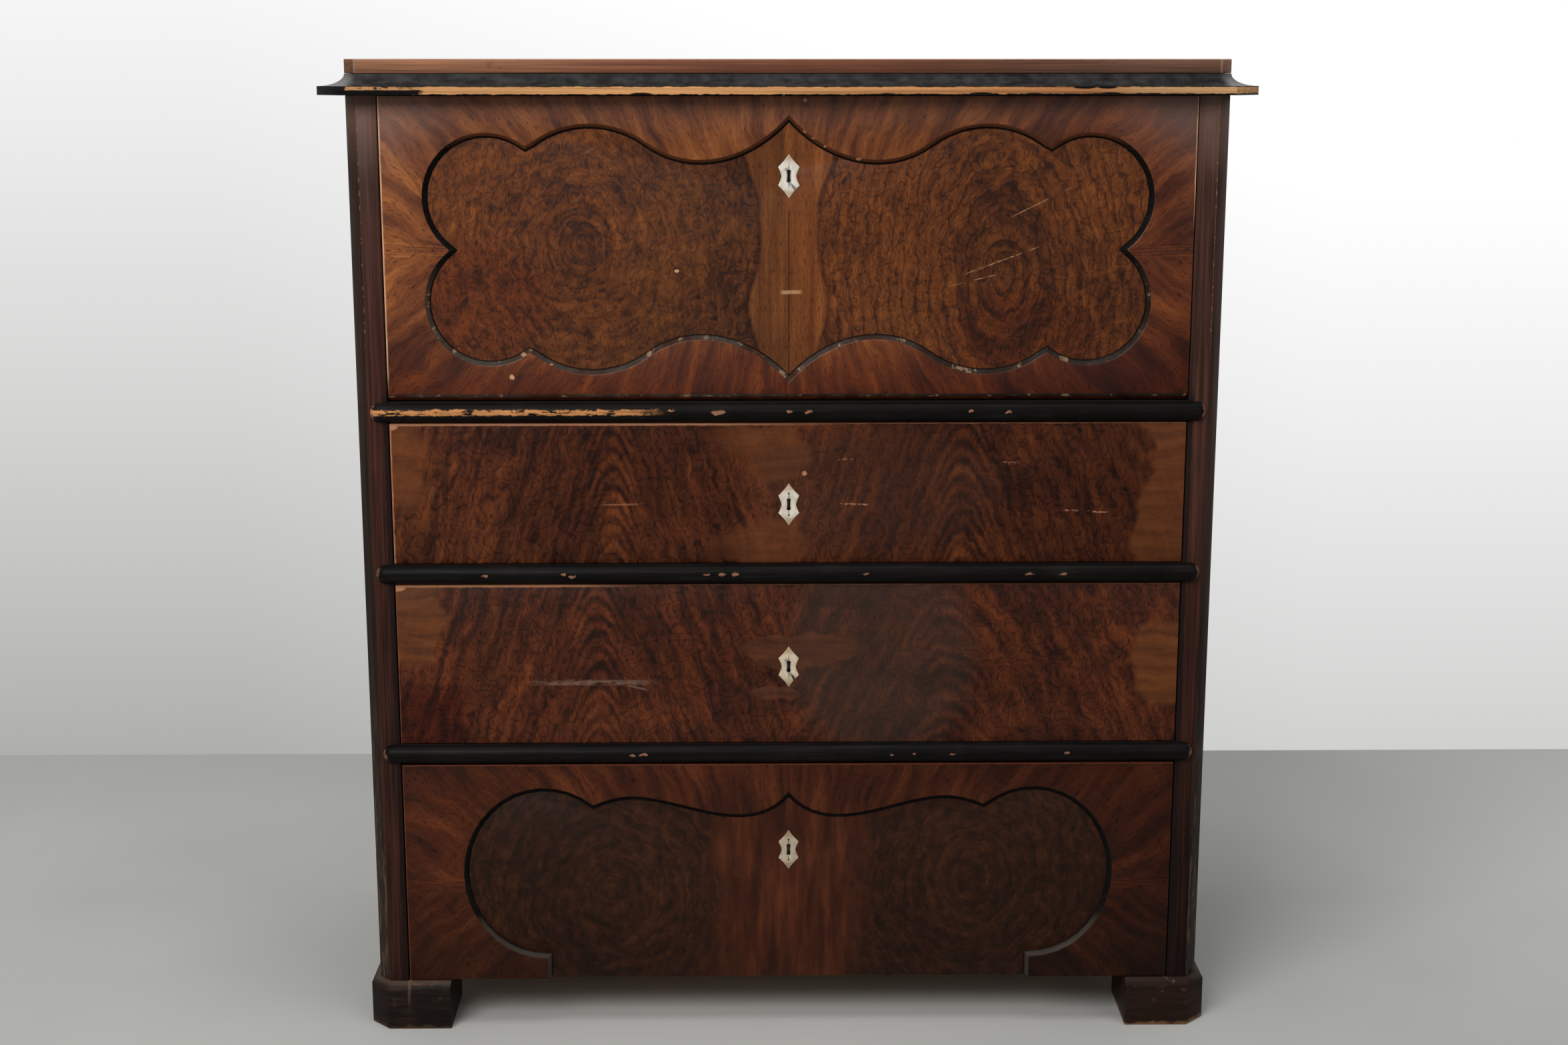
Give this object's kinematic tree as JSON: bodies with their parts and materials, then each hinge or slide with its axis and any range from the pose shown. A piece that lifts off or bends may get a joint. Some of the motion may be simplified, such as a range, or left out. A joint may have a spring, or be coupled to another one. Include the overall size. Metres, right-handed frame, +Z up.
{
  "type": "chiffonier",
  "caption": "Tall chest with a drop-down writing fall over long drawers, all opened by key, with a mitred cornice, half-round beads and block feet.",
  "frame": {"origin": "on the floor, in the middle of the whole object's plan", "axes": "+X to the right seen from the front, +Y to the back, +Z up"},
  "size_m": [1.164, 0.532, 1.276],
  "materials": {
    "figured_walnut": "french-polished burr and cross-grained walnut veneer, satin",
    "drawer_walnut": "dark french-polished walnut veneer, satin",
    "dark_walnut": "dark stained wood, worn satin",
    "ebonised_wood": "black stained and polished wood, worn to bare wood on its arrises",
    "cap_walnut": "walnut, dull satin",
    "bare_wood": "unpolished softwood",
    "bone": "polished bone, slightly yellowed",
    "iron": "dull dark iron",
    "brass": "aged brass"
  },
  "bodies": {
    "case": {"side_left": "dark_walnut", "side_right": "dark_walnut", "stile_left": "ebonised_wood", "stile_right": "ebonised_wood", "lining_left": "bare_wood", "lining_right": "bare_wood", "top_board": "ebonised_wood", "top_cap": "cap_walnut", "back_board": "bare_wood", "bottom_board": "bare_wood", "writing_floor": "figured_walnut", "cornice_front": "ebonised_wood", "cornice_left": "ebonised_wood", "cornice_right": "ebonised_wood", "rail_lower": "bare_wood", "rail_middle": "bare_wood", "rail_upper": "bare_wood", "bead_lower": "ebonised_wood", "bead_middle": "ebonised_wood", "bead_upper": "ebonised_wood", "runner_middle_left": "bare_wood", "runner_middle_right": "bare_wood", "runner_upper_left": "bare_wood", "runner_upper_right": "bare_wood", "foot_front_left": "ebonised_wood", "foot_front_right": "ebonised_wood", "foot_rear_left": "dark_walnut", "foot_rear_right": "dark_walnut", "stay_guide_left": "brass", "stay_guide_right": "brass", "letter_shelf": "figured_walnut", "letter_divider_left": "bare_wood", "letter_divider_right": "bare_wood"},
    "fall": {"fall_board": "figured_walnut", "fall_surround": "figured_walnut", "fall_escutcheon": "bone", "fall_lock": "iron", "fall_stay_left": "brass", "fall_stay_right": "brass"},
    "fall_lock_bolt": {"fall_bolt": "iron"},
    "upper_drawer": {"upper_drawer_front": "drawer_walnut", "upper_drawer_box": "bare_wood", "upper_drawer_bottom": "bare_wood", "upper_escutcheon": "bone", "upper_lock": "iron"},
    "upper_lock_bolt": {"upper_bolt": "iron"},
    "middle_drawer": {"middle_drawer_front": "drawer_walnut", "middle_drawer_box": "bare_wood", "middle_drawer_bottom": "bare_wood", "middle_escutcheon": "bone", "middle_lock": "iron"},
    "middle_lock_bolt": {"middle_bolt": "iron"},
    "bottom_drawer": {"bottom_drawer_front": "drawer_walnut", "bottom_drawer_surround": "drawer_walnut", "bottom_drawer_box": "bare_wood", "bottom_drawer_bottom": "bare_wood", "bottom_escutcheon": "bone", "bottom_lock": "iron"},
    "bottom_lock_bolt": {"bottom_bolt": "iron"},
    "small_drawer": {"letter_drawer": "figured_walnut"}
  },
  "joints": [
    {"name": "fall_hinge", "type": "hinge", "parent": "case", "child": "fall", "pos_m": [0, -0.2215, 0.8635], "axis": [1, 0, 0], "range_deg": [0, 90]},
    {"name": "fall_bolt_slide", "type": "slide", "parent": "fall", "child": "fall_lock_bolt", "axis": [0, 0, 1], "range_m": [0, 0.008]},
    {"name": "upper_drawer_slide", "type": "slide", "parent": "case", "child": "upper_drawer", "axis": [0, -1, 0], "range_m": [0, 0.36]},
    {"name": "upper_bolt_slide", "type": "slide", "parent": "upper_drawer", "child": "upper_lock_bolt", "axis": [0, 0, 1], "range_m": [0, 0.008]},
    {"name": "middle_drawer_slide", "type": "slide", "parent": "case", "child": "middle_drawer", "axis": [0, -1, 0], "range_m": [0, 0.36]},
    {"name": "middle_bolt_slide", "type": "slide", "parent": "middle_drawer", "child": "middle_lock_bolt", "axis": [0, 0, 1], "range_m": [0, 0.008]},
    {"name": "bottom_drawer_slide", "type": "slide", "parent": "case", "child": "bottom_drawer", "axis": [0, -1, 0], "range_m": [0, 0.36]},
    {"name": "bottom_bolt_slide", "type": "slide", "parent": "bottom_drawer", "child": "bottom_lock_bolt", "axis": [0, 0, 1], "range_m": [0, 0.008]},
    {"name": "letter_drawer_slide", "type": "slide", "parent": "case", "child": "small_drawer", "axis": [0, -1, 0], "range_m": [0, 0.11]}
  ]
}
